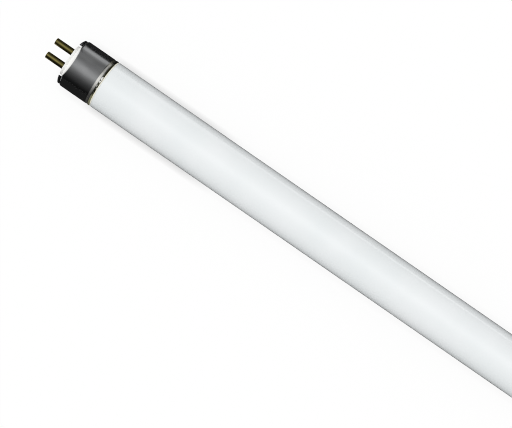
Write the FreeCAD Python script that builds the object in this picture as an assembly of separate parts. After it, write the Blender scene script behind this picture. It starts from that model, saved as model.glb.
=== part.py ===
import FreeCAD, Part
import math
import os

# A miniature fluorescent tube with a two-pin cap on each end, in millimetres.
# The tube runs along X, the two pins of a cap lie side by side along Y, and Z is up.
# The origin is the middle of the tube. Each cap is built in its own end frame, with
# x counted from the face of its lugs into the lamp, and is then put on both ends.

Vector = FreeCAD.Vector

# Lamp
face_to_face = 288.0       # between the lug faces of the two caps
glass_diameter = 16.0
glass_wall = 0.75

# Contact pins
pin_spacing = 5.0          # between the middles of the two pins
pin_diameter = 2.2
pin_wall = 0.35
pin_reach = 7.3            # pin tip beyond the lug face
pin_shank_step = 0.2       # shank in the insulator is thicker than the pin, on the radius

# Lead wires
wire_diameter = 0.4

# Cap shell, drawn from sheet
cap_length = 12.3          # lug face to rear rim
cap_proud = 0.05           # barrel outside the glass, on the radius
sheet = 0.4
shoulder_drop = 0.85       # from the barrel down to the floor of the groove
shoulder_round = 0.6
groove_width = 0.3
lug_drop = 0.3             # lug's edge below the barrel, on the radius
lug_thickness = 0.8
lug_bevel_length = 0.35    # bevel round the front of a lug
lug_bevel_height = 0.6
lug_gap = 0.4              # between a lug's straight edge and the boss
window_setback = 0.1       # window's lowest edge behind the groove
window_slope = 0.45        # travel along X for each millimetre up, at the side windows
channel_width = 0.95       # shallow ring pressed in ahead of the rear rim
channel_depth = 0.12
rim_width = 0.6
rim_edge = 0.3             # broken rear edge

# Insulator
insulator_thickness = 2.6
insulator_recess = 0.85    # its front between the lugs, behind the lug face
boss_rise = 0.75           # boss face beyond the lug face
boss_margin = 1.5          # boss around each pin
boss_edge_chamfer = 0.25

# Sealed glass end inside the cap
wiring_gap = 4.0           # insulator's back to the glass end
tip_clearance = 0.8        # insulator's back to the sealed exhaust tip
tip_diameter = 3.0
tip_point = 0.8            # diameter where the tip was drawn off and sealed
neck_clearance = 0.1       # rear rim to the start of the glass shoulder
end_corner = 1.5           # taper from the neck to the closed end

# Capping cement
cement_gap = 0.3           # between the shell and the glass neck
cement_setback = 0.6       # cement starts this far behind the end corner of the glass
cement_bead = 0.4          # bead shows this far behind the rear rim

# Tapers that make up a rounded corner
shoulder_tapers = 3
glass_tapers = 2

# Derived radii
glass_radius = glass_diameter / 2
barrel_radius = glass_radius + cap_proud
bore_radius = barrel_radius - sheet
groove_radius = barrel_radius - shoulder_drop
lug_radius = barrel_radius - lug_drop
neck_radius = bore_radius - cement_gap
pin_radius = pin_diameter / 2
shank_radius = pin_radius + pin_shank_step
wire_radius = wire_diameter / 2
tip_radius = tip_diameter / 2
boss_half_height = pin_radius + boss_margin
boss_half_length = pin_spacing / 2 + boss_half_height
lug_edge = boss_half_length + lug_gap

# Derived stations along the end frame
shoulder_start = lug_thickness + groove_width
insulator_back = sheet + insulator_thickness
glass_end = insulator_back + wiring_gap
exhaust_tip = insulator_back + tip_clearance
glass_shoulder = cap_length + neck_clearance
glass_shoulder_length = glass_radius - neck_radius
channel_start = cap_length - rim_width - channel_width

X_AXIS = Vector(1, 0, 0)
ORIGIN = Vector(0, 0, 0)


def rounded(centre, radius, start, end, tapers):
    """Points of a round corner after its first one, with angles in degrees."""
    points = []
    for step in range(1, tapers + 1):
        turn = math.radians(start + (end - start) * step / tapers)
        points.append((centre[0] + radius * math.cos(turn), centre[1] + radius * math.sin(turn)))
    return points


def turned(*outline):
    """A solid turned about X from a closed outline of (x, radius) points."""
    points = [Vector(x, radius, 0) for x, radius in outline]
    face = Part.Face(Part.makePolygon(points + points[:1]))
    return face.revolve(ORIGIN, X_AXIS, 360)


def rod(radius, start, end, y=0.0):
    """A round bar along X from one station to another."""
    return Part.makeCylinder(radius, end - start, Vector(start, y, 0), X_AXIS)


def shell_form():
    """The outer form of the shell, solid, with its front still closed."""
    shoulder_centre = (shoulder_start + shoulder_round, barrel_radius - shoulder_round)
    channel_floor = barrel_radius - channel_depth
    return turned(
        (0, 0),
        (0, lug_radius - lug_bevel_height),
        (lug_bevel_length, lug_radius),
        (lug_thickness, lug_radius),
        (lug_thickness, groove_radius),
        (shoulder_start, groove_radius),
        (shoulder_start, barrel_radius - shoulder_round),
        *rounded(shoulder_centre, shoulder_round, 180, 90, shoulder_tapers),
        (channel_start, barrel_radius),
        (channel_start + channel_width / 2, channel_floor),
        (channel_start + channel_width, barrel_radius),
        (cap_length - rim_edge, barrel_radius),
        (cap_length, barrel_radius - rim_edge),
        (cap_length, 0),
    )


def cavity_form():
    """The inside of the shell, one sheet thickness in from its front and its barrel."""
    front = shoulder_start + sheet
    return turned(
        (sheet, 0),
        (sheet, groove_radius - sheet),
        (front, groove_radius - sheet),
        (front, bore_radius),
        (cap_length, bore_radius),
        (cap_length, 0),
    )


def window_form():
    """What is cut between the lugs: a slot that slopes back at the two open sides."""
    corner = math.sqrt(barrel_radius ** 2 - lug_edge ** 2)
    outside = glass_diameter
    front = shoulder_start + window_setback
    back = front + window_slope * (outside - corner)
    points = [
        (-outside, -outside), (back, -outside), (front, -corner),
        (front, corner), (back, outside), (-outside, outside),
    ]
    wire = Part.makePolygon([Vector(x, -lug_edge, z) for x, z in points + points[:1]])
    return Part.Face(wire).extrude(Vector(0, 2 * lug_edge, 0))


def cap_shell():
    """Drawn shell: barrel, rounded shoulder, groove and two turned-in lugs."""
    return shell_form().cut(cavity_form()).cut(window_form())


def boss():
    """Raised oblong around both pins, with its front edge broken."""
    depth = boss_rise + insulator_recess
    half = pin_spacing / 2
    low, high = -boss_half_height, boss_half_height
    back = insulator_recess
    corners = [Vector(back, y, z) for y, z in ((-half, low), (half, low), (half, high), (-half, high))]
    right, left = Vector(back, boss_half_length, 0), Vector(back, -boss_half_length, 0)
    wire = Part.Wire([
        Part.LineSegment(corners[0], corners[1]).toShape(),
        Part.Arc(corners[1], right, corners[2]).toShape(),
        Part.LineSegment(corners[2], corners[3]).toShape(),
        Part.Arc(corners[3], left, corners[0]).toShape(),
    ])
    block = Part.Face(wire).extrude(Vector(-depth, 0, 0))
    front = [edge for edge in block.Edges if edge.BoundBox.XMax < back - depth / 2]
    return block.makeChamfer(boss_edge_chamfer, front)


def recess_form():
    """What is left out of the insulator's front between the lugs."""
    corner = Vector(-glass_diameter, -lug_edge, -glass_diameter)
    return Part.makeBox(glass_diameter + insulator_recess, 2 * lug_edge, 2 * glass_diameter, corner)


def insulator():
    """Moulded plate that fills the front of the shell and its side windows."""
    plug = turned(
        (sheet, 0),
        (sheet, bore_radius),
        (insulator_back, bore_radius),
        (insulator_back, 0),
    )
    plate = plug.common(cavity_form()).fuse(plug.common(window_form())).cut(recess_form()).fuse(boss())
    for side in (-1, 1):
        plate = plate.cut(rod(shank_radius, -glass_diameter, glass_diameter, side * pin_spacing / 2))
    return plate.removeSplitter()


def contact_pin(y):
    """Hollow pin pressed into the insulator and closed round its wire at the tip."""
    tip = -pin_reach
    bore = pin_radius - pin_wall
    pin = turned(
        (tip, wire_radius),
        (tip, pin_radius),
        (-boss_rise, pin_radius),
        (-boss_rise, shank_radius),
        (insulator_back, shank_radius),
        (insulator_back, bore),
        (tip + pin_wall, bore),
        (tip + pin_wall, wire_radius),
    )
    pin.translate(Vector(0, y, 0))
    return pin


def lead_wire(y):
    """Wire from the sealed glass end to the face of the pin tip."""
    return rod(wire_radius, -pin_reach, glass_end, y)


def turned_both_ends(half_outline):
    """A solid turned from the outline of one end and its mirror image at the other."""
    left = [(x - face_to_face / 2, radius) for x, radius in half_outline]
    right = [(-x, radius) for x, radius in reversed(left)]
    return turned(*left, *right)


def glass_tube():
    """The sealed glass: tube, drawn-in necks, closed ends and drawn-off exhaust tips."""
    shoulder_end = glass_shoulder + glass_shoulder_length
    outside = turned_both_ends([
        (exhaust_tip, 0),
        (exhaust_tip, tip_point / 2),
        (exhaust_tip + tip_radius, tip_radius),
        (glass_end, tip_radius),
        (glass_end, neck_radius - end_corner),
        (glass_end + end_corner, neck_radius),
        (glass_shoulder, neck_radius),
        *rounded((shoulder_end, neck_radius), glass_shoulder_length, 180, 90, glass_tapers),
    ])
    inside = turned_both_ends([
        (glass_end + end_corner, 0),
        (glass_end + end_corner, neck_radius - glass_wall),
        (glass_shoulder + glass_wall, neck_radius - glass_wall),
        (shoulder_end + glass_wall, glass_radius - glass_wall),
    ])
    return outside.cut(inside)


def cement_ring():
    """Cement between the shell and the glass neck, with a bead behind the rear rim."""
    start = glass_end + end_corner + cement_setback
    bead_end = cap_length + cement_bead
    ring = turned((start, neck_radius), (start, bore_radius), (bead_end, bore_radius), (bead_end, neck_radius))
    glass = glass_tube()
    glass.translate(Vector(face_to_face / 2, 0, 0))
    return ring.cut(glass)


def on_end(shape, end):
    """Put a shape from the end frame on the left or the right end of the lamp."""
    placed = shape.copy()
    if end == "right":
        placed.rotate(ORIGIN, Vector(0, 0, 1), 180)
        placed.translate(Vector(face_to_face / 2, 0, 0))
    else:
        placed.translate(Vector(-face_to_face / 2, 0, 0))
    return placed


def pieces():
    """Every piece of the lamp, by name."""
    found = {"glass_tube": glass_tube()}
    made = {"cap_shell": cap_shell(), "insulator": insulator(), "cement_ring": cement_ring()}
    # The right end is the left end turned about Z, which swaps front and back.
    side_of = {("left", "front"): -1, ("left", "back"): 1, ("right", "front"): 1, ("right", "back"): -1}
    for end in ("left", "right"):
        for name, shape in made.items():
            found[f"{end}_{name}"] = on_end(shape, end)
        for row in ("front", "back"):
            y = side_of[end, row] * pin_spacing / 2
            found[f"{end}_{row}_pin"] = on_end(contact_pin(y), end)
            found[f"{end}_{row}_lead_wire"] = on_end(lead_wire(y), end)
    return found


def main():
    os.makedirs("parts", exist_ok=True)
    for name, shape in pieces().items():
        solids = shape.Solids
        if len(solids) != 1 or not solids[0].isValid():
            raise ValueError(f"{name} has {len(solids)} solids or isn't valid")
        solids[0].exportStep(f"parts/{name}.step")
        print(f"{name}: {solids[0].Volume:.2f} mm3, {len(solids[0].Faces)} faces")


main()
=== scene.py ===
import logging
import math
from dataclasses import dataclass
from enum import Enum
from typing import Iterable, Sequence, Union

import bmesh
import bpy
from mathutils import Matrix, Vector, noise


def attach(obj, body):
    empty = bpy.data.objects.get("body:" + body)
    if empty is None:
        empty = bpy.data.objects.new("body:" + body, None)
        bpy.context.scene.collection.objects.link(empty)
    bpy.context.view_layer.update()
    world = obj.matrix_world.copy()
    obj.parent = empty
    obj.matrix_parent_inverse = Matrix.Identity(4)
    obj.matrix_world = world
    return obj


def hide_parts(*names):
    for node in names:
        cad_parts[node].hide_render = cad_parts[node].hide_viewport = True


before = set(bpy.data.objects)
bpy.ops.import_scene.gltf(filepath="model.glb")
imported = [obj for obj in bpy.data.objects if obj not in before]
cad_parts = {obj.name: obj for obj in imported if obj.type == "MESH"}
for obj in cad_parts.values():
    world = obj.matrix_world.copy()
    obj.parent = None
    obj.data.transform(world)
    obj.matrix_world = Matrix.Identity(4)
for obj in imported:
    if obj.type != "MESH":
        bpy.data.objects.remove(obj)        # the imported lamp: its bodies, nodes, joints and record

# A miniature fluorescent tube with a two-pin cap on each end, seen from straight above.
# Forms are built in millimetres and become metres when they turn into pieces. The tube
# runs along X. A cap is built in its own end frame, with x counted from the face of its
# lugs into the lamp, and is then put on either end.

log = logging.getLogger("fluorescent_tube")

BODY = "root"
METRES_PER_MM = 0.001
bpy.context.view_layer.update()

FACE_TO_FACE = 288.0       # between the lug faces of the two caps
SIDES = 192                # facets round a turned form
ARC_STEP = math.radians(15)
SHARP_EDGE = math.radians(32)
ON_AXIS = 1e-6
LINE_SPAN = (0.2, 0.8)     # noise values between which drawing lines turn dull

Colour = tuple[float, float, float, float]
Span = tuple[float, float]
Tree = bpy.types.NodeTree
Socket = bpy.types.NodeSocket
Fill = Union[float, Sequence[float], Socket]

# Sockets of the Mix node by number, since several of them share a name.
FACTOR, VALUE_A, VALUE_B, COLOUR_A, COLOUR_B = 0, 2, 3, 6, 7
MIXED_VALUE, MIXED_COLOUR = 0, 2


def linear(hex_colour: str) -> Colour:
    """Turns an sRGB hex colour into the linear colour that a shader takes.

    Args:
        hex_colour: Six hex digits after a hash sign.

    Returns:
        Red, green and blue in linear light, and an alpha of 1.
    """
    parts = [int(hex_colour[at:at + 2], 16) / 255 for at in (1, 3, 5)]
    red, green, blue = (
        part / 12.92 if part <= 0.04045 else ((part + 0.055) / 1.055) ** 2.4 for part in parts
    )
    return (red, green, blue, 1.0)


def metres(size_mm: float) -> float:
    """A size in millimetres, turned into the metres that nodes work in."""
    return size_mm * METRES_PER_MM


def per_metre(size_mm: float) -> float:
    """The texture scale at which one cell of a pattern is size_mm across."""
    return 1 / metres(size_mm)


def add_node(
    tree: Tree,
    kind: str,
    output: Union[str, int],
    inputs: dict[Union[str, int], Fill],
    stops: Sequence[tuple[float, Colour]] = (),
    **settings: object,
) -> Socket | None:
    """Adds a node with its settings, its links and, for a ramp, its colour stops.

    Args:
        tree: The node tree that the node goes into.
        kind: Blender's type name of the node, without "ShaderNode".
        output: The output that is wanted, by name or number.
        inputs: Values or links for its input sockets, by name or number.
        stops: Positions and colours of a colour ramp.
        settings: The node's own properties.

    Returns:
        The wanted output, or None for a node without outputs.
    """
    made = tree.nodes.new("ShaderNode" + kind)
    for name, value in settings.items():
        setattr(made, name, value)
    for key, value in inputs.items():
        if isinstance(value, Socket):
            tree.links.new(value, made.inputs[key])
        else:
            made.inputs[key].default_value = value
    for index, (position, colour) in enumerate(stops):
        elements = made.color_ramp.elements
        stop = elements[index] if index < 2 else elements.new(position)
        stop.position, stop.color = position, colour
    return made.outputs[output] if made.outputs else None


def patchy(
    tree: Tree, place: Socket, patch_mm: float, span: Span, colours: tuple[str, str],
) -> Socket:
    """Spreads two colours in soft patches.

    Args:
        tree: The material's node tree.
        place: Position on the object, in metres.
        patch_mm: Size of a patch.
        span: Noise values at which the first colour ends and the second is full.
        colours: The two colours in hex.

    Returns:
        The socket with the colour.
    """
    cloud = add_node(tree, "TexNoise", "Fac", {"Vector": place, "Scale": per_metre(patch_mm)})
    patches = add_node(tree, "MapRange", "Result", {
        "Value": cloud, "From Min": span[0], "From Max": span[1],
    })
    first, second = (linear(colour) for colour in colours)
    return add_node(tree, "Mix", MIXED_COLOUR, {
        FACTOR: patches, COLOUR_A: first, COLOUR_B: second,
    }, data_type="RGBA")


def grey_ramp(levels: Sequence[Span], first: float, last: float) -> list[tuple[float, Colour]]:
    """Turns levels at places into the stops of a grey colour ramp.

    Args:
        levels: Each place, and the level there.
        first: The place where the ramp starts.
        last: The place where it ends.

    Returns:
        Each stop's position and colour.
    """
    reach = last - first
    return [((at - first) / reach, (level, level, level, 1.0)) for at, level in levels]


def seeing_rays(tree: Tree) -> Socket:
    """1 for camera, glossy and transmission rays, and 0 for the rays that carry light.

    Args:
        tree: The node tree that asks.

    Returns:
        The socket with that value.
    """
    seen = add_node(tree, "LightPath", "Is Camera Ray", {})
    for kind in ("Is Glossy Ray", "Is Transmission Ray"):
        also = add_node(tree, "LightPath", kind, {})
        seen = add_node(tree, "Math", 0, {0: seen, 1: also}, operation="MAXIMUM")
    return seen


# Finishes


@dataclass(frozen=True)
class Finish:
    """A surface finish that builds its own material."""

    name: str

    def material(self) -> bpy.types.Material:
        """Builds the material once and returns it each time.

        Returns:
            The material with this finish's nodes.
        """
        found = bpy.data.materials.get(self.name)
        if found:
            return found
        made = bpy.data.materials.new(self.name)
        made.use_nodes = True
        tree = made.node_tree
        tree.nodes.clear()
        place = add_node(tree, "TexCoord", "Object", {})
        add_node(tree, "OutputMaterial", 0, {"Surface": self.shader(tree, place)})
        return made

    def shader(self, tree: Tree, place: Socket) -> Socket:
        """Builds the shader; each finish has its own.

        Args:
            tree: The material's node tree.
            place: Position on the object, in metres.

        Returns:
            The shader's output socket.
        """
        raise NotImplementedError


@dataclass(frozen=True)
class CoatedGlass(Finish):
    """Soda-lime glass tube, drawn, over a settled white powder coating.

    To the eye it is a white body under a clear wall: soft and even across the middle, with
    a sharp gloss on top that turns mirror-like and dark along both outlines.
    """

    coating: str = "#EDF0F1"
    thin_coating: str = "#E9EDEE"     # where the powder settled thinner
    end_coating: str = "#E8ECED"      # greyed beside the electrodes
    patch_mm: float = 14.0
    patch_span: Span = (0.35, 0.65)
    grain_mm: float = 0.5             # powder is far finer, drawn coarse enough to show
    streak_mm: float = 5.0            # width of the waves that drawing leaves
    streak_stretch: float = 30.0
    relief_mm: float = 0.004
    end_mm: Span = (116.0, 129.0)     # from the lamp's middle: greying starts, and is full

    def shader(self, tree: Tree, place: Socket) -> Socket:
        """White powder seen through a clear coat of glass.

        Args:
            tree: The material's node tree.
            place: Position on the object, in metres.

        Returns:
            The shader's output socket.
        """
        coatings = self.coating, self.thin_coating
        body = patchy(tree, place, self.patch_mm, self.patch_span, coatings)
        along = add_node(tree, "SeparateXYZ", "X", {"Vector": place})
        from_middle = add_node(tree, "Math", 0, {0: along}, operation="ABSOLUTE")
        start, full = self.end_mm
        at_end = add_node(tree, "MapRange", "Result", {
            "Value": from_middle, "From Min": metres(start), "From Max": metres(full),
        }, interpolation_type="SMOOTHSTEP")
        body = add_node(tree, "Mix", MIXED_COLOUR, {
            FACTOR: at_end, COLOUR_A: body, COLOUR_B: linear(self.end_coating),
        }, data_type="RGBA")
        powder = add_node(tree, "TexNoise", "Fac", {
            "Vector": place, "Scale": per_metre(self.grain_mm),
        })
        grain = add_node(tree, "Bump", "Normal", {
            "Height": powder, "Distance": metres(self.relief_mm),
        })
        drawn = add_node(tree, "Mapping", "Vector", {
            "Vector": place, "Scale": (1 / self.streak_stretch, 1, 1),
        })
        streaks = add_node(tree, "TexNoise", "Fac", {
            "Vector": drawn, "Scale": per_metre(self.streak_mm),
        })
        waves = add_node(tree, "Bump", "Normal", {
            "Height": streaks, "Distance": metres(self.relief_mm),
        })
        return add_node(tree, "BsdfPrincipled", "BSDF", {
            "Base Color": body, "Roughness": 0.3, "IOR": 1.5, "Specular IOR Level": 0.3,
            "Normal": grain, "Coat Weight": 1.0, "Coat Roughness": 0.03, "Coat IOR": 1.5,
            "Coat Normal": waves,
        })


@dataclass(frozen=True)
class LacqueredAluminium(Finish):
    """Aluminium sheet, deep drawn, under a dark clear lacquer.

    To the eye it is dark grey metal with soft long reflections, burnished bright in the
    rolled channel, with painted shade on the channel towards the back, and olive with
    varnish on its rear rim, with bare metal showing in random spots of wear and in a
    painted highlight of spots along the rim's top.
    """

    metal: str = "#9A9B9C"
    worn_metal: str = "#828384"
    burnished: str = "#F4F3EE"
    channel_painted_shade: str = "#8C8978"           # painted shade on the burnished channel towards the back
    varnish: str = "#454532"
    front_varnish: str = "#8C8C6E"    # paler and less metallic, on the front side of the rim
    burnished_roughness: float = 0.4
    varnish_roughness: float = 0.28
    front_metallic: float = 0.35
    patch_mm: float = 3.0
    patch_stretch: float = 3.0
    patch_span: Span = (0.3, 0.7)
    line_mm: float = 0.3              # drawing lines, coarse enough to show
    line_stretch: float = 25.0
    line_roughness: Span = (0.16, 0.24)
    line_depth_mm: float = 0.0015
    spot_mm: float = 0.7              # spots of bare metal on the rim: random wear, and a painted highlight along its top
    spot_span: Span = (0.62, 0.72)
    channel_middle_mm: float = 132.775
    channel_reach_mm: float = 0.5
    rim_mm: Span = (132.3, 132.2)     # from the lamp's middle: the rim starts, and is full
    front_mm: Span = (3.8, 5.5)         # to the front: the paler varnish starts, and is full
    channel_shade_mm: Span = (4.2, 6.8)        # to the back: painted shade on the channel starts, and is full
    top_highlight_mm: Span = (7.7, 7.95)     # upwards: the painted highlight along the rim's top starts, and is full
    top_highlight_share: float = 0.17

    def shader(self, tree: Tree, place: Socket) -> Socket:
        """Dark metal with a bright band and an olive rim.

        Args:
            tree: The material's node tree.
            place: Position on the object, in metres.

        Returns:
            The shader's output socket.
        """
        pulled = add_node(tree, "Mapping", "Vector", {
            "Vector": place, "Scale": (1 / self.patch_stretch, 1, 1),
        })
        metals = self.metal, self.worn_metal
        metal = patchy(tree, pulled, self.patch_mm, self.patch_span, metals)
        along, across, up = (
            add_node(tree, "SeparateXYZ", axis, {"Vector": place}) for axis in "XYZ"
        )
        from_middle = add_node(tree, "Math", 0, {0: along}, operation="ABSOLUTE")

        off_channel = add_node(tree, "Math", 0, {
            0: from_middle, 1: metres(self.channel_middle_mm),
        }, operation="SUBTRACT")
        off_channel = add_node(tree, "Math", 0, {0: off_channel}, operation="ABSOLUTE")
        reach = metres(self.channel_reach_mm)
        in_channel = add_node(tree, "MapRange", "Result", {
            "Value": off_channel, "From Min": reach, "From Max": reach / 2,
        }, interpolation_type="SMOOTHSTEP")
        # Painted shade: the channel's burnished colour darkens towards the back.
        start, full = self.channel_shade_mm
        dull = add_node(tree, "MapRange", "Result", {
            "Value": across, "From Min": metres(start), "From Max": metres(full),
        })
        channel = add_node(tree, "Mix", MIXED_COLOUR, {
            FACTOR: dull, COLOUR_A: linear(self.burnished), COLOUR_B: linear(self.channel_painted_shade),
        }, data_type="RGBA")

        # The rim's varnish turns paler and less metallic towards the front.
        start, full = self.front_mm
        towards_front = add_node(tree, "MapRange", "Result", {
            "Value": across, "From Min": -metres(start), "From Max": -metres(full),
        }, interpolation_type="SMOOTHSTEP")
        rim = add_node(tree, "Mix", MIXED_COLOUR, {
            FACTOR: towards_front, COLOUR_A: linear(self.varnish), COLOUR_B: linear(self.front_varnish),
        }, data_type="RGBA")
        # Painted highlight: spots of bare metal gather along the rim's top.
        start, full = self.top_highlight_mm
        painted_top_highlight = add_node(tree, "MapRange", "Result", {
            "Value": up, "From Min": metres(start), "From Max": metres(full),
            "To Max": self.top_highlight_share,
        })
        spots = add_node(tree, "TexNoise", "Fac", {
            "Vector": place, "Scale": per_metre(self.spot_mm),
        })
        spots = add_node(tree, "Math", 0, {0: spots, 1: painted_top_highlight}, operation="ADD")
        start, full = self.spot_span
        wear_and_highlight = add_node(tree, "MapRange", "Result", {
            "Value": spots, "From Min": start, "From Max": full,
        })
        # Bare metal in the spots, from wear and from the painted highlight.
        rim = add_node(tree, "Mix", MIXED_COLOUR, {
            FACTOR: wear_and_highlight, COLOUR_A: rim, COLOUR_B: linear(self.burnished),
        }, data_type="RGBA")
        start, full = self.rim_mm
        on_rim = add_node(tree, "MapRange", "Result", {
            "Value": from_middle, "From Min": metres(start), "From Max": metres(full),
        }, interpolation_type="SMOOTHSTEP")

        drawn = add_node(tree, "Mapping", "Vector", {
            "Vector": place, "Scale": (1 / self.line_stretch, 1, 1),
        })
        lines = add_node(tree, "TexNoise", "Fac", {
            "Vector": drawn, "Scale": per_metre(self.line_mm),
        })
        smooth, rough = self.line_roughness
        roughness = add_node(tree, "MapRange", "Result", {
            "Value": lines, "From Min": LINE_SPAN[0], "From Max": LINE_SPAN[1],
            "To Min": smooth, "To Max": rough,
        })
        for where, colour, dullness in (
            (in_channel, channel, self.burnished_roughness),
            (on_rim, rim, self.varnish_roughness),
        ):
            metal = add_node(tree, "Mix", MIXED_COLOUR, {
                FACTOR: where, COLOUR_A: metal, COLOUR_B: colour,
            }, data_type="RGBA")
            roughness = add_node(tree, "Mix", MIXED_VALUE, {
                FACTOR: where, VALUE_A: roughness, VALUE_B: dullness,
            })
        front_of_rim = add_node(tree, "Math", 0, {0: on_rim, 1: towards_front}, operation="MULTIPLY")
        bare = add_node(tree, "MapRange", "Result", {
            "Value": front_of_rim, "To Min": 1.0, "To Max": self.front_metallic,
        })
        relief = add_node(tree, "Bump", "Normal", {
            "Height": lines, "Distance": metres(self.line_depth_mm),
        })
        return add_node(tree, "BsdfPrincipled", "BSDF", {
            "Base Color": metal, "Metallic": bare, "Roughness": roughness, "Normal": relief,
        })


@dataclass(frozen=True)
class MouldedPlastic(Finish):
    """White polyester, injection moulded.

    To the eye it is a clean, faintly warm white with a low sheen.
    """

    white: str = "#FAFAF8"
    shade: str = "#F6F6F3"
    patch_mm: float = 2.5
    grain_mm: float = 0.2             # spark-eroded mould texture, coarse enough to show
    relief_mm: float = 0.004

    def shader(self, tree: Tree, place: Socket) -> Socket:
        """Even white with a fine mould texture.

        Args:
            tree: The material's node tree.
            place: Position on the object, in metres.

        Returns:
            The shader's output socket.
        """
        patches = add_node(tree, "TexNoise", "Fac", {
            "Vector": place, "Scale": per_metre(self.patch_mm),
        })
        body = add_node(tree, "Mix", MIXED_COLOUR, {
            FACTOR: patches, COLOUR_A: linear(self.white), COLOUR_B: linear(self.shade),
        }, data_type="RGBA")
        texture = add_node(tree, "TexNoise", "Fac", {
            "Vector": place, "Scale": per_metre(self.grain_mm),
        })
        relief = add_node(tree, "Bump", "Normal", {
            "Height": texture, "Distance": metres(self.relief_mm),
        })
        return add_node(tree, "BsdfPrincipled", "BSDF", {
            "Base Color": body, "Roughness": 0.42, "IOR": 1.5, "Normal": relief,
        })


@dataclass(frozen=True)
class SetCement(Finish):
    """Phenolic capping cement, baked until it set.

    To the eye it is a matt cream line with a gritty, uneven surface.
    """

    cream: str = "#F5F2E4"
    baked: str = "#E6E0C8"
    patch_mm: float = 1.2
    patch_span: Span = (0.4, 0.7)
    grit_mm: float = 0.18
    grit_detail: float = 4.0
    relief_mm: float = 0.03

    def shader(self, tree: Tree, place: Socket) -> Socket:
        """Cream, browned in patches.

        Args:
            tree: The material's node tree.
            place: Position on the object, in metres.

        Returns:
            The shader's output socket.
        """
        body = patchy(tree, place, self.patch_mm, self.patch_span, (self.cream, self.baked))
        grit = add_node(tree, "TexNoise", "Fac", {
            "Vector": place, "Scale": per_metre(self.grit_mm), "Detail": self.grit_detail,
        })
        relief = add_node(tree, "Bump", "Normal", {
            "Height": grit, "Distance": metres(self.relief_mm),
        })
        return add_node(tree, "BsdfPrincipled", "BSDF", {
            "Base Color": body, "Roughness": 0.85, "IOR": 1.5, "Normal": relief,
        })


@dataclass(frozen=True)
class TarnishedBrass(Finish):
    """Brass tube, drawn, tarnished in store.

    To the eye it is olive brown metal with long streaks, a little yellower where
    the tarnish is thin.
    """

    tarnish: str = "#6D663E"
    thin_tarnish: str = "#958A50"
    patch_mm: float = 1.1
    patch_span: Span = (0.42, 0.72)
    line_mm: float = 0.15             # drawing lines, coarse enough to show
    stretch: float = 8.0
    line_roughness: Span = (0.08, 0.18)
    line_depth_mm: float = 0.0015

    def shader(self, tree: Tree, place: Socket) -> Socket:
        """Streaked dark brass.

        Args:
            tree: The material's node tree.
            place: Position on the object, in metres.

        Returns:
            The shader's output socket.
        """
        drawn = add_node(tree, "Mapping", "Vector", {
            "Vector": place, "Scale": (1 / self.stretch, 1, 1),
        })
        colours = self.tarnish, self.thin_tarnish
        brass = patchy(tree, drawn, self.patch_mm, self.patch_span, colours)
        lines = add_node(tree, "TexNoise", "Fac", {
            "Vector": drawn, "Scale": per_metre(self.line_mm),
        })
        smooth, rough = self.line_roughness
        roughness = add_node(tree, "MapRange", "Result", {
            "Value": lines, "From Min": LINE_SPAN[0], "From Max": LINE_SPAN[1],
            "To Min": smooth, "To Max": rough,
        })
        relief = add_node(tree, "Bump", "Normal", {
            "Height": lines, "Distance": metres(self.line_depth_mm),
        })
        return add_node(tree, "BsdfPrincipled", "BSDF", {
            "Base Color": brass, "Metallic": 1.0, "Roughness": roughness, "Normal": relief,
        })


@dataclass(frozen=True)
class DrawnWire(Finish):
    """Nickel-plated iron wire, drawn.

    To the eye it is plain grey metal with fine lines along it.
    """

    metal: str = "#B8B4AC"
    dull: str = "#918D86"
    line_mm: float = 0.1
    stretch: float = 12.0

    def shader(self, tree: Tree, place: Socket) -> Socket:
        """Grey wire with die lines.

        Args:
            tree: The material's node tree.
            place: Position on the object, in metres.

        Returns:
            The shader's output socket.
        """
        drawn = add_node(tree, "Mapping", "Vector", {
            "Vector": place, "Scale": (1 / self.stretch, 1, 1),
        })
        lines = add_node(tree, "TexNoise", "Fac", {
            "Vector": drawn, "Scale": per_metre(self.line_mm),
        })
        wire = add_node(tree, "Mix", MIXED_COLOUR, {
            FACTOR: lines, COLOUR_A: linear(self.metal), COLOUR_B: linear(self.dull),
        }, data_type="RGBA")
        return add_node(tree, "BsdfPrincipled", "BSDF", {
            "Base Color": wire, "Metallic": 1.0, "Roughness": 0.35,
        })


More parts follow.
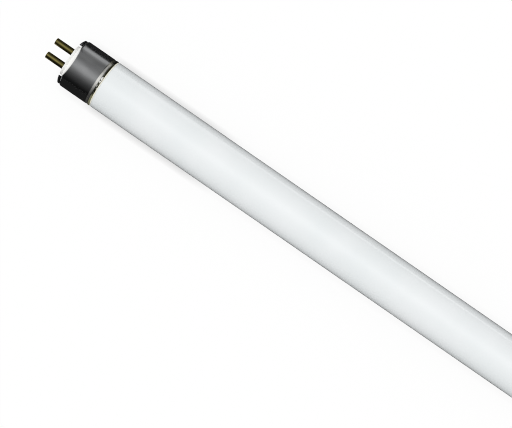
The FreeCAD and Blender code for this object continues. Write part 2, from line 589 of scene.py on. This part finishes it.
@dataclass(frozen=True)
class PaleFloor(Finish):
    """Matt white board that the lamp lies on.

    To the eye it is plain white with the lamp's faint shadow, a little stronger beside the
    two ends of the glass. Camera, glossy and transmission rays see mostly white, so that
    the lamp reflects it too.
    """

    board: str = "#FBFBFA"
    near_bounce: str = "#4C4C4C"      # what the light that it sends back finds beside the lamp
    far_bounce: str = "#F2F2F2"       # and farther off
    bounce_mm: Span = (25.0, 80.0)    # from the lamp's axis: near ends, and far starts
    shadow_share: float = 0.06        # of the board's own shading that is seen
    contact_mm: float = 5.0           # the lamp darkens the board where it comes this close
    contact_rays: int = 8

    # Distance from the lamp's middle in millimetres, and how much of that shows there.
    contact: tuple[Span, ...] = (
        (0, 0.12), (86, 0.12), (97, 0.8), (131, 0.8), (135, 0.25), (160, 0.25),
    )

    def shader(self, tree: Tree, place: Socket) -> Socket:
        """Diffuse board mixed with plain white for the rays that see it.

        Args:
            tree: The material's node tree.
            place: Position on the object, in metres.

        Returns:
            The shader's output socket.
        """
        along, across = (
            add_node(tree, "SeparateXYZ", axis, {"Vector": place}) for axis in "XY"
        )
        from_lamp = add_node(tree, "Math", 0, {0: across}, operation="ABSOLUTE")
        near, far = self.bounce_mm
        distant = add_node(tree, "MapRange", "Result", {
            "Value": from_lamp, "From Min": metres(near), "From Max": metres(far),
        }, interpolation_type="SMOOTHSTEP")
        bounce = add_node(tree, "Mix", MIXED_COLOUR, {
            FACTOR: distant, COLOUR_A: linear(self.near_bounce), COLOUR_B: linear(self.far_bounce),
        }, data_type="RGBA")
        carried = add_node(tree, "LightPath", "Is Diffuse Ray", {})
        colour = add_node(tree, "Mix", MIXED_COLOUR, {
            FACTOR: carried, COLOUR_A: linear(self.board), COLOUR_B: bounce,
        }, data_type="RGBA")
        board = add_node(tree, "BsdfDiffuse", "BSDF", {"Color": colour})

        from_middle = add_node(tree, "Math", 0, {0: along}, operation="ABSOLUTE")
        reach = self.contact[-1][0]
        from_middle = add_node(tree, "Math", 0, {
            0: from_middle, 1: metres(reach),
        }, operation="DIVIDE")
        stops = grey_ramp(self.contact, 0, reach)
        share = add_node(tree, "ValToRGB", "Color", {"Fac": from_middle}, stops)
        open_above = add_node(tree, "AmbientOcclusion", "AO", {
            "Distance": metres(self.contact_mm),
        }, samples=self.contact_rays)
        level = add_node(tree, "MapRange", "Result", {
            "Value": share, "To Min": 1.0, "To Max": open_above,
        })
        white = add_node(tree, "Emission", "Emission", {
            "Color": linear("#FFFFFF"), "Strength": level,
        })
        seen = add_node(tree, "Math", 0, {
            0: seeing_rays(tree), 1: 1 - self.shadow_share,
        }, operation="MULTIPLY")
        return add_node(tree, "MixShader", 0, {0: seen, 1: board, 2: white})


@dataclass(frozen=True)
class Card(Finish):
    """Plain card beside the lamp, which only reflections see."""

    colour: str

    def shader(self, tree: Tree, place: Socket) -> Socket:
        """Plain matt colour."""
        return add_node(tree, "BsdfDiffuse", "BSDF", {"Color": linear(self.colour)})


@dataclass(frozen=True)
class LitCloth(Finish):
    """Cloth of a light tent, lit from outside, that only reflections see.

    Its brightness changes with the angle round the tube: a long soft panel overhead,
    a paler back and a dark front.
    """

    strength: float = 1.07
    back_x: float = -0.31             # middle of the back light, in metres
    back_reach: float = 0.25

    # Angle from overhead towards the back (+Y), in degrees, and brightness there.
    overhead: tuple[Span, ...] = (
        (-180, 0.01), (-88, 0.01), (-76, 0.02), (-65, 0.05), (-55, 0.1), (-45, 0.16),
        (-36, 0.26), (-27, 0.42), (-18, 0.62), (-9, 0.86), (0, 1.0), (9, 0.9), (18, 0.65),
        (27, 0.45), (36, 0.28), (45, 0.17), (55, 0.1), (65, 0.05), (180, 0.05),
    )
    back: tuple[Span, ...] = (
        (-180, 0.0), (15, 0.0), (27, 0.08), (36, 0.22), (45, 0.33), (65, 0.3), (76, 0.42),
        (84, 0.88), (92, 0.88), (105, 0.3), (180, 0.3),
    )

    def shader(self, tree: Tree, place: Socket) -> Socket:
        """Light that follows the angle round the tube, with a shorter panel at the back.

        Args:
            tree: The material's node tree.
            place: Position on the object, in metres.

        Returns:
            The shader's output socket.
        """
        along, across, up = (
            add_node(tree, "SeparateXYZ", axis, {"Vector": place}) for axis in "XYZ"
        )
        angle = add_node(tree, "Math", 0, {0: across, 1: up}, operation="ARCTAN2")
        turn = add_node(tree, "MapRange", "Result", {
            "Value": angle, "From Min": -math.pi, "From Max": math.pi,
        })
        overhead, back = (
            add_node(tree, "ValToRGB", "Color", {"Fac": turn}, grey_ramp(levels, -180, 180))
            for levels in (self.overhead, self.back)
        )
        off_middle = add_node(tree, "Math", 0, {
            0: along, 1: self.back_x,
        }, operation="SUBTRACT")
        off_middle = add_node(tree, "Math", 0, {0: off_middle}, operation="ABSOLUTE")
        near = add_node(tree, "MapRange", "Result", {
            "Value": off_middle, "From Min": self.back_reach, "From Max": self.back_reach / 2,
        }, interpolation_type="SMOOTHSTEP")
        back = add_node(tree, "Math", 0, {0: back, 1: near}, operation="MULTIPLY")
        light = add_node(tree, "Math", 0, {0: overhead, 1: back}, operation="ADD")
        light = add_node(tree, "Math", 0, {0: light, 1: self.strength}, operation="MULTIPLY")
        return add_node(tree, "Emission", "Emission", {"Strength": light})


GLASS = CoatedGlass("drawn_glass_over_white_powder")
CAP_METAL = LacqueredAluminium("deep_drawn_aluminium_dark_lacquer")
PLASTIC = MouldedPlastic("moulded_white_polyester")
CEMENT = SetCement("set_capping_cement")
BRASS = TarnishedBrass("drawn_brass_tarnished")
WIRE = DrawnWire("drawn_nickelled_wire")
BOARD = PaleFloor("matt_white_board")
BLACK_CARD = Card("black_flocked_card", "#343434")
WHITE_CARD = Card("white_card", "#F4F4F4")
GREY_CARD = Card("grey_card", "#787878")
CLOTH = LitCloth("lit_tent_cloth")


# Forms


@dataclass(frozen=True)
class Corner:
    """A corner of a turned outline, in millimetres."""

    x: float
    radius: float
    rounding: float = 0.0

    @property
    def point(self) -> Vector:
        """The corner as a flat vector."""
        return Vector((self.x, self.radius))


def rounded(corners: Sequence[Corner]) -> list[Vector]:
    """Follows an outline and turns each corner that has a rounding into an arc.

    Args:
        corners: The outline's corners in order.

    Returns:
        Points of (x, radius) along the outline.
    """
    points: list[Vector] = []
    for index, corner in enumerate(corners):
        if not corner.rounding:
            points.append(corner.point)
            continue
        back = (corners[index - 1].point - corner.point).normalized()
        ahead = (corners[(index + 1) % len(corners)].point - corner.point).normalized()
        half = back.angle(ahead) / 2
        centre = corner.point + (back + ahead).normalized() * corner.rounding / math.sin(half)
        start = corner.point + back * corner.rounding / math.tan(half) - centre
        sweep = math.copysign(math.pi - 2 * half, back.cross(ahead))
        steps = max(2, math.ceil(abs(sweep) / ARC_STEP))
        for step in range(steps + 1):
            points.append(centre + Matrix.Rotation(-sweep * step / steps, 2) @ start)
    return points


class End(Enum):
    """The two ends of the lamp."""

    LEFT = "left"
    RIGHT = "right"

    @property
    def place(self) -> Matrix:
        """Where the end frame goes, in millimetres."""
        turn = Matrix.Rotation(math.pi, 4, "Z") if self is End.RIGHT else Matrix.Identity(4)
        return turn @ Matrix.Translation((-FACE_TO_FACE / 2, 0, 0))


class Form:
    """A closed mesh in millimetres that other forms can be joined to or cut from."""

    def __init__(self, made: bmesh.types.BMesh) -> None:
        """Takes over a bmesh and turns its faces outward.

        Args:
            made: The closed bmesh, which is used up.
        """
        bmesh.ops.recalc_face_normals(made, faces=made.faces)
        self.mesh = bpy.data.meshes.new("form")
        made.to_mesh(self.mesh)
        made.free()

    @classmethod
    def turned(cls, outline: Iterable[Vector], joined: bool = False) -> "Form":
        """Turns an outline about X.

        Args:
            outline: Points of (x, radius), from axis to axis unless it is joined.
            joined: The outline is a ring section whose last point meets its first.

        Returns:
            The turned form.
        """
        made = bmesh.new()
        rings = []
        for x, radius in outline:
            sides = 1 if radius < ON_AXIS else SIDES
            angles = [2 * math.pi * side / SIDES for side in range(sides)]
            rings.append([
                made.verts.new((x, radius * math.sin(angle), radius * math.cos(angle)))
                for angle in angles
            ])
        pairs = list(zip(rings, rings[1:]))
        if joined:
            pairs.append((rings[-1], rings[0]))
        for first, second in pairs:
            for side in range(SIDES):
                ahead = side + 1
                around = [
                    first[side % len(first)], first[ahead % len(first)],
                    second[ahead % len(second)], second[side % len(second)],
                ]
                corners = list(dict.fromkeys(around))
                if len(corners) > 2:
                    made.faces.new(corners)
        return cls(made)

    @classmethod
    def lofted(cls, loops: Sequence[Sequence[Vector]]) -> "Form":
        """Joins loops of equal length into a skin and closes both its ends.

        Args:
            loops: The loops in order, each a list of points.

        Returns:
            The lofted form.
        """
        made = bmesh.new()
        rings = [[made.verts.new(point) for point in loop] for loop in loops]
        for first, second in zip(rings, rings[1:]):
            for side in range(len(first)):
                ahead = (side + 1) % len(first)
                made.faces.new((first[side], first[ahead], second[ahead], second[side]))
        made.faces.new(rings[0])
        made.faces.new(rings[-1])
        return cls(made)

    @classmethod
    def drawn_out(cls, section: Sequence[Span], reach: float) -> "Form":
        """Draws a section in the XZ plane out along Y.

        Args:
            section: Its corners as (x, z).
            reach: How far it goes to each side.

        Returns:
            The straight form.
        """
        return cls.lofted([[Vector((x, y, z)) for x, z in section] for y in (-reach, reach)])

    def combined(self, operation: str, tools: Iterable["Form"]) -> "Form":
        """Runs a boolean operation with each tool in turn.

        Args:
            operation: Blender's name for the operation.
            tools: The other forms.

        Returns:
            This form, changed.
        """
        for tool in tools:
            body = bpy.data.objects.new("body", self.mesh)
            cutter = bpy.data.objects.new("cutter", tool.mesh)
            for each in (body, cutter):
                bpy.context.scene.collection.objects.link(each)
            modifier = body.modifiers.new("combine", "BOOLEAN")
            modifier.operation, modifier.object, modifier.solver = operation, cutter, "EXACT"
            graph = bpy.context.evaluated_depsgraph_get()
            self.mesh = bpy.data.meshes.new_from_object(body.evaluated_get(graph))
            for each in (body, cutter):
                bpy.data.objects.remove(each)
        return self

    def minus(self, *tools: "Form") -> "Form":
        """This form with the others cut away."""
        return self.combined("DIFFERENCE", tools)

    def plus(self, *tools: "Form") -> "Form":
        """This form with the others joined on."""
        return self.combined("UNION", tools)

    def piece(
        self, name: str, finish: Finish, slot: str, node: str, place: Matrix | None = None,
    ) -> bpy.types.Object:
        """Turns the form into a dressed piece that stands for a CAD node.

        Args:
            name: The piece's name.
            finish: The finish that it gets.
            slot: Not used.
            node: The CAD node that it replaces.
            place: Where it goes, in millimetres.

        Returns:
            The piece.
        """
        self.mesh.transform(Matrix.Scale(METRES_PER_MM, 4) @ (place or Matrix.Identity(4)))
        self.mesh.name = name
        self.mesh.materials.clear()
        self.mesh.materials.append(finish.material())
        self.mesh.shade_smooth()
        self.mesh.set_sharp_from_angle(angle=SHARP_EDGE)
        made = bpy.data.objects.new(name, self.mesh)
        bpy.context.scene.collection.objects.link(made)
        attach(made, BODY)
        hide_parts(node)
        log.info("%s: %d faces in %s", name, len(self.mesh.polygons), finish.name)
        return made


# Sub-assemblies


@dataclass
class GlassTube:
    """The sealed glass: a long tube with drawn-in necks, closed ends and exhaust tips."""

    radius: float = 8.0
    neck_radius: float = 7.35
    tip_radius: float = 1.5
    tip_round: float = 1.2
    tip_root: float = 0.8            # rounding where the tip meets the closed end
    tip_x: float = 3.8               # sealed exhaust tip
    end_x: float = 7.0               # closed end of the neck
    end_corner: float = 1.5
    shoulder_x: float = 12.4         # where the neck opens out to the tube
    shoulder_length: float = 1.3
    ring_spacing: float = 12.0       # between the rings of the straight tube

    # Shares of the shoulder's rise: its length, and the roundings at its foot and head.
    shoulder_run: float = 0.4
    shoulder_foot: float = 0.3
    shoulder_head: float = 0.7

    def half_outline(self) -> list[Vector]:
        """Points of the left end, from the exhaust tip to the straight tube.

        Returns:
            Points of (x, radius) in the lamp's own frame.
        """
        rise = self.radius - self.neck_radius
        top_x = self.shoulder_x + rise * self.shoulder_run
        corners = [
            Corner(self.tip_x, 0),
            Corner(self.tip_x, self.tip_radius, self.tip_round),
            Corner(self.end_x, self.tip_radius, self.tip_root),
            Corner(self.end_x, self.neck_radius, self.end_corner),
            Corner(self.shoulder_x, self.neck_radius, rise * self.shoulder_foot),
            Corner(top_x, self.radius, rise * self.shoulder_head),
            Corner(self.shoulder_x + self.shoulder_length, self.radius),
        ]
        return [Vector((x - FACE_TO_FACE / 2, radius)) for x, radius in rounded(corners)]

    def build(self) -> None:
        """Builds the tube and dresses it."""
        left = self.half_outline()
        start = left[-1][0]
        count = round(-2 * start / self.ring_spacing)
        straight = [
            Vector((start - 2 * start * step / count, self.radius)) for step in range(1, count)
        ]
        right = [Vector((-x, radius)) for x, radius in reversed(left)]
        form = Form.turned([*left, *straight, *right])
        form.piece("lamp_glass", GLASS, "coated_glass", "glass_tube")


@dataclass
class CapShell:
    """Drawn shell: barrel, rounded shoulder, groove, two turned-in lugs and a rolled rim."""

    length: float = 12.3
    radius: float = 8.05
    sheet: float = 0.4
    shoulder_drop: float = 0.85
    shoulder_round: float = 0.6
    groove_width: float = 0.3
    lug_radius: float = 7.75
    lug_thickness: float = 0.8
    lug_bevel: Span = (0.35, 0.6)    # along the lamp, and down
    lug_edge: float = 5.5            # from the lamp's middle plane to a lug's straight edge
    window_setback: float = 0.1      # window's lowest edge behind the groove
    window_slope: float = 0.45
    channel_width: float = 0.95
    channel_depth: float = 0.12
    channel_round: float = 0.9
    rim_width: float = 0.6
    rim_roll: float = 0.3
    soft_edge: float = 0.06          # broken edges of the sheet

    @property
    def bore(self) -> float:
        """Inner radius of the barrel."""
        return self.radius - self.sheet

    @property
    def shoulder_x(self) -> float:
        """Where the shoulder rises from the groove."""
        return self.lug_thickness + self.groove_width

    def outline(self) -> list[Vector]:
        """The section of the whole cup, with its front still closed.

        Returns:
            Points of (x, radius) from the axis and back to it.
        """
        groove = self.radius - self.shoulder_drop
        inner = groove - self.sheet
        along, down = self.lug_bevel
        channel_end = self.length - self.rim_width
        channel = channel_end - self.channel_width
        soft, bend = self.soft_edge, self.channel_round
        return rounded([
            Corner(0, 0),
            Corner(0, self.lug_radius - down, 2 * soft),
            Corner(along, self.lug_radius, 2 * soft),
            Corner(self.lug_thickness, self.lug_radius, soft),
            Corner(self.lug_thickness, groove, soft),
            Corner(self.shoulder_x, groove, soft),
            Corner(self.shoulder_x, self.radius, self.shoulder_round),
            Corner(channel, self.radius, bend),
            Corner(channel + self.channel_width / 2, self.radius - self.channel_depth, bend),
            Corner(channel_end, self.radius, bend),
            Corner(self.length, self.radius, self.rim_roll),
            Corner(self.length, self.bore, soft),
            Corner(self.shoulder_x + self.sheet, self.bore, self.sheet),
            Corner(self.shoulder_x + self.sheet, inner, soft),
            Corner(self.sheet, inner, soft),
            Corner(self.sheet, 0),
        ])

    def window(self) -> Form:
        """What is cut between the lugs: a slot that slopes back at its two open sides.

        Returns:
            The slot's form.
        """
        corner = math.sqrt(self.radius ** 2 - self.lug_edge ** 2)
        outside = 2 * self.radius
        front = self.shoulder_x + self.window_setback
        back = front + self.window_slope * (outside - corner)
        return Form.drawn_out([
            (-outside, -outside), (back, -outside), (front, -corner),
            (front, corner), (back, outside), (-outside, outside),
        ], self.lug_edge)

    def form(self) -> Form:
        """The shell in its end frame."""
        return Form.turned(self.outline()).minus(self.window())

    def collar(self) -> Form:
        """The room that the lugs, the groove and the shoulder take up, none at the windows.

        Returns:
            That room as a form.
        """
        inner, outer = self.radius - self.shoulder_drop - self.sheet, 2 * self.radius
        front, back = -self.length, self.shoulder_x + self.sheet
        corners = (front, inner), (front, outer), (back, outer), (back, inner)
        ring = [Vector(corner) for corner in corners]
        return Form.turned(ring, joined=True).minus(self.window())

    def build(self, end: End) -> None:
        """Builds the shell of one end and dresses it.

        Args:
            end: The lamp's end.
        """
        name = f"{end.value}_cap_shell"
        self.form().piece(f"{end.value}_cap", CAP_METAL, "cap_metal", name, end.place)


@dataclass
class Insulator:
    """Moulded plate that fills the cap's front and windows, with a raised oblong boss."""

    shell: CapShell
    thickness: float = 2.6
    recess: float = 0.85             # its front between the lugs, behind the lug face
    edge: float = 0.22               # rounding of the plate's front edge
    boss_rise: float = 0.75
    boss_half_height: float = 2.6
    boss_edge: float = 0.25
    boss_edge_steps: int = 5
    half_spacing: float = 2.5
    hole_radius: float = 1.3

    def plate(self) -> Form:
        """The round plate, with its front recessed between the lugs.

        Returns:
            The plate's form, which still fills the shell's lugs and groove.
        """
        front, back, bore = self.shell.sheet, self.shell.sheet + self.thickness, self.shell.bore
        middle, outside = (self.recess + back) / 2, 2 * bore
        plate = Form.turned(rounded([
            Corner(self.recess, 0), Corner(self.recess, bore, self.edge),
            Corner(back, bore), Corner(back, 0),
        ]))
        corners = (front, 0), (front, bore), (middle, bore), (middle, 0)
        pads = Form.turned([Vector(corner) for corner in corners])
        between = [(-outside, -outside), (back, -outside), (back, outside), (-outside, outside)]
        return plate.plus(pads.minus(Form.drawn_out(between, self.shell.lug_edge)))

    def boss_loop(self, x: float, inset: float) -> list[Vector]:
        """The boss's oblong outline at one station, drawn in by an inset.

        Args:
            x: The station.
            inset: How far inside the full outline it lies.

        Returns:
            The outline's points.
        """
        radius = self.boss_half_height - inset
        steps = SIDES // 4
        points = []
        for side in (1, -1):
            for step in range(steps + 1):
                turn = math.pi * step / steps
                y = side * (self.half_spacing + radius * math.sin(turn))
                points.append(Vector((x, y, side * radius * math.cos(turn))))
        return points

    def boss(self) -> Form:
        """The raised oblong with its front edge rounded.

        Returns:
            The boss's form, reaching back into the plate.
        """
        steps = self.boss_edge_steps
        face = -self.boss_rise
        loops = [self.boss_loop(self.shell.sheet + self.thickness / 2, 0)]
        for step in range(steps + 1):
            turn = math.pi / 2 * step / steps
            depth = self.boss_edge * (1 - math.sin(turn))
            loops.append(self.boss_loop(face + depth, self.boss_edge * (1 - math.cos(turn))))
        return Form.lofted(loops)

    def hole(self, side: int) -> Form:
        """What a pin's shank takes out of the plate.

        Args:
            side: 1 for the hole towards +Y, -1 for the other.

        Returns:
            The hole's form.
        """
        reach, radius = 4 * self.thickness, self.hole_radius
        corners = (-reach, 0), (-reach, radius), (reach, radius), (reach, 0)
        form = Form.turned([Vector(corner) for corner in corners])
        form.mesh.transform(Matrix.Translation((0, side * self.half_spacing, 0)))
        return form

    def build(self, end: End) -> None:
        """Builds the insulator of one end and dresses it.

        Args:
            end: The lamp's end.
        """
        form = self.plate().minus(self.shell.collar()).plus(self.boss())
        form.minus(self.hole(-1), self.hole(1))
        name = f"{end.value}_insulator"
        form.piece(f"{end.value}_insulating_plate", PLASTIC, "insulator_plastic", name, end.place)


@dataclass
class ContactPin:
    """Hollow brass pin, closed round its wire at the tip and thicker in the insulator."""

    radius: float = 1.1
    reach: float = 7.3
    wall: float = 0.35
    shank_radius: float = 1.3
    boss_rise: float = 0.75
    back: float = 3.0
    wire_radius: float = 0.2
    tip_edge: float = 0.14
    tip_dish: float = 0.12           # the closed tip is drawn in a little round its wire
    dish_width: float = 0.36
    step_edge: float = 0.04
    soft_edge: float = 0.1
    half_spacing: float = 2.5

    def outline(self) -> list[Vector]:
        """The pin's section as a closed ring.

        Returns:
            Points of (x, radius).
        """
        tip, bore = -self.reach, self.radius - self.wall
        return rounded([
            Corner(tip + self.tip_dish, self.wire_radius),
            Corner(tip, self.wire_radius + self.dish_width, self.soft_edge),
            Corner(tip, self.radius, self.tip_edge),
            Corner(-self.boss_rise, self.radius, self.step_edge),
            Corner(-self.boss_rise, self.shank_radius, self.step_edge),
            Corner(self.back, self.shank_radius, self.soft_edge),
            Corner(self.back, bore, self.soft_edge),
            Corner(tip + self.wall, bore),
            Corner(tip + self.wall, self.wire_radius),
        ])

    def build(self, end: End, row: str) -> None:
        """Builds one pin and dresses it.

        Args:
            end: The lamp's end.
            row: "front" or "back", as seen from the front of the lamp.
        """
        front = -1 if end is End.LEFT else 1
        side = front if row == "front" else -front
        form = Form.turned(self.outline(), joined=True)
        place = end.place @ Matrix.Translation((0, side * self.half_spacing, 0))
        node = f"{end.value}_{row}_pin"
        form.piece(f"{end.value}_{row}_contact", BRASS, "pin_brass", node, place)


@dataclass
class CementRing:
    """Cement between the shell and the glass neck, squeezed out in an uneven bead."""

    start: float = 9.1
    rim_x: float = 12.3
    bead_x: float = 12.72
    inner_radius: float = 7.35
    bore: float = 7.65
    bead_radius: float = 7.82
    bead_front: float = 0.1          # roundings of the bead's front and back edges
    bead_back: float = 0.14
    unevenness: float = 0.09
    lump_mm: float = 2.2

    def build(self, end: End) -> None:
        """Builds the ring of one end, makes its bead uneven and dresses it.

        Args:
            end: The lamp's end.
        """
        form = Form.turned(rounded([
            Corner(self.start, self.inner_radius),
            Corner(self.start, self.bore),
            Corner(self.rim_x, self.bore),
            Corner(self.rim_x, self.bead_radius, self.bead_front),
            Corner(self.bead_x, self.bead_radius, self.bead_back),
            Corner(self.bead_x, self.inner_radius),
        ]), joined=True)
        for vertex in form.mesh.vertices:
            if vertex.co.x > self.rim_x + ON_AXIS:
                where = Vector((0.0, vertex.co.y, vertex.co.z)) / self.lump_mm
                vertex.co.x += self.unevenness * noise.noise(where)
        form.piece(f"{end.value}_cement", CEMENT, "cement", f"{end.value}_cement_ring", end.place)


@dataclass
class LeadWires:
    """The four lead wires, which keep their CAD shape."""

    def build(self) -> None:
        """Dresses each wire's node."""
        for name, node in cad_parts.items():
            if name.endswith("_lead_wire"):
                node.data.materials.clear()
                node.data.materials.append(WIRE.material())
                log.info("%s: the CAD node in %s", name, WIRE.name)


# Studio


class Sees(Enum):
    """Which rays see a stage object."""

    ALL = "all"
    REFLECTIONS = "reflections"


@dataclass
class Studio:
    """Pale floor, soft light, a light tent for the reflections, and the camera."""

    floor_z: float = -8.05           # the caps rest on it
    floor_half: float = 2500.0
    card_gap: float = 0.2            # from the floor to the black cards, and on to the white
    back_card: Span = (0.0, 75.0)
    front_card: Span = (-900.0, 0.0)
    end_card_x: Span = (153.0, 210.0)    # white cards start just past the pins
    end_card_y: Span = (-25.0, 60.0)
    flag_x: Span = (144.7, 156.0)    # grey flags shade the pins from the back
    flag_y: float = 14.0
    flag_top: float = 12.0
    tent_radius: float = 1000.0
    tent_half: float = 1600.0
    sky_level: float = 1.0           # soft light from all round, and white to the eye
    panel_size: float = 0.9
    panel_height: float = 0.9
    panel_y: float = -0.25           # it hangs a little to the front
    panel_power: float = 0.6
    camera_x: float = -70.82
    camera_y: float = -6.29
    camera_z: float = 430.0
    camera_turn: float = 34.67       # degrees about the view's own axis
    picture_width: float = 156.8     # what the picture's width takes in at the lamp's axis
    sensor_width: float = 36.0
    pixel_filter: float = 1.0        # narrower than usual, for crisp thin edges

    def stage(self, name: str, made: bmesh.types.BMesh, finish: Finish, sees: Sees) -> None:
        """Turns a bmesh in millimetres into a stage object.

        Args:
            name: The object's name.
            made: Its mesh.
            finish: Its finish.
            sees: Which rays see it.
        """
        mesh = bpy.data.meshes.new(name)
        made.to_mesh(mesh)
        made.free()
        mesh.transform(Matrix.Scale(METRES_PER_MM, 4))
        mesh.materials.append(finish.material())
        thing = bpy.data.objects.new(name, mesh)
        bpy.context.scene.collection.objects.link(thing)
        if sees is Sees.REFLECTIONS:
            thing.visible_camera = thing.visible_diffuse = thing.visible_shadow = False
            thing.visible_transmission = thing.visible_volume_scatter = False
        log.info("stage: %s", name)

    def sheet(self, x: Span, y: Span, z: Span) -> bmesh.types.BMesh:
        """A rectangle, in millimetres.

        Args:
            x: From where to where it goes along X.
            y: Where its two long sides lie along Y.
            z: How high they lie.

        Returns:
            Its bmesh.
        """
        made = bmesh.new()
        made.faces.new([made.verts.new(point) for point in (
            (x[0], y[0], z[0]), (x[1], y[0], z[0]), (x[1], y[1], z[1]), (x[0], y[1], z[1]),
        )])
        return made

    def tent(self) -> bmesh.types.BMesh:
        """A long tunnel round the lamp's axis, closed at both ends.

        Returns:
            Its bmesh.
        """
        made = bmesh.new()
        bmesh.ops.create_cone(
            made, cap_ends=True, segments=SIDES, depth=2 * self.tent_half,
            radius1=self.tent_radius, radius2=self.tent_radius,
            matrix=Matrix.Rotation(math.pi / 2, 4, "Y"),
        )
        return made

    def surroundings(self) -> None:
        """Lays the floor and the cards and puts up the tent."""
        span = (-self.floor_half, self.floor_half)
        along = (-self.tent_half, self.tent_half)
        ground, low, high = ((self.floor_z + gaps * self.card_gap,) * 2 for gaps in range(3))
        upright = (self.flag_y, self.flag_y), (self.floor_z, self.flag_top)
        self.stage("floor", self.sheet(span, span, ground), BOARD, Sees.ALL)
        for name, across in (("back_card", self.back_card), ("front_card", self.front_card)):
            self.stage(name, self.sheet(along, across, low), BLACK_CARD, Sees.REFLECTIONS)
        for end, side in ((End.LEFT, -1), (End.RIGHT, 1)):
            card_x, flag_x = (
                (side * start, side * stop) for start, stop in (self.end_card_x, self.flag_x)
            )
            card = self.sheet(card_x, self.end_card_y, high)
            self.stage(f"{end.value}_end_card", card, WHITE_CARD, Sees.REFLECTIONS)
            flag = self.sheet(flag_x, *upright)
            self.stage(f"{end.value}_flag", flag, GREY_CARD, Sees.REFLECTIONS)
        self.stage("light_tent", self.tent(), CLOTH, Sees.REFLECTIONS)

    def lights(self) -> None:
        """Sets the even light from all round and the soft panel overhead."""
        world = bpy.data.worlds.new("soft_room")
        world.use_nodes = True
        tree = world.node_tree
        tree.nodes.clear()
        sky = add_node(tree, "Background", "Background", {
            "Color": linear("#FFFFFF"), "Strength": self.sky_level,
        })
        add_node(tree, "OutputWorld", 0, {"Surface": sky})
        bpy.context.scene.world = world
        panel = bpy.data.lights.new("overhead_panel", "AREA")
        panel.shape, panel.size = "SQUARE", self.panel_size
        panel.energy = self.panel_power
        lamp = bpy.data.objects.new("overhead_panel", panel)
        lamp.location = (0, self.panel_y, self.panel_height)
        lamp.visible_camera = lamp.visible_glossy = False
        bpy.context.scene.collection.objects.link(lamp)

    def camera(self) -> None:
        """Puts the camera straight above the lamp, turned as the lamp lies in the picture."""
        data = bpy.data.cameras.new("camera")
        data.sensor_width = self.sensor_width
        data.lens = self.sensor_width * self.camera_z / self.picture_width
        eye = bpy.data.objects.new("camera", data)
        eye.location = Vector((self.camera_x, self.camera_y, self.camera_z)) * METRES_PER_MM
        eye.rotation_euler = (0, 0, math.radians(self.camera_turn))
        scene = bpy.context.scene
        scene.collection.objects.link(eye)
        scene.camera = eye
        scene.view_settings.view_transform = "Standard"
        scene.cycles.filter_width = self.pixel_filter


def main() -> None:
    """Builds the lamp's pieces, then the studio."""
    logging.basicConfig(level=logging.INFO, format="%(name)s: %(message)s")
    GlassTube().build()
    shell = CapShell()
    for end in End:
        shell.build(end)
        Insulator(shell).build(end)
        CementRing().build(end)
        for row in ("front", "back"):
            ContactPin().build(end, row)
    LeadWires().build()
    studio = Studio()
    studio.surroundings()
    studio.lights()
    studio.camera()


if __name__ == "__main__":
    main()
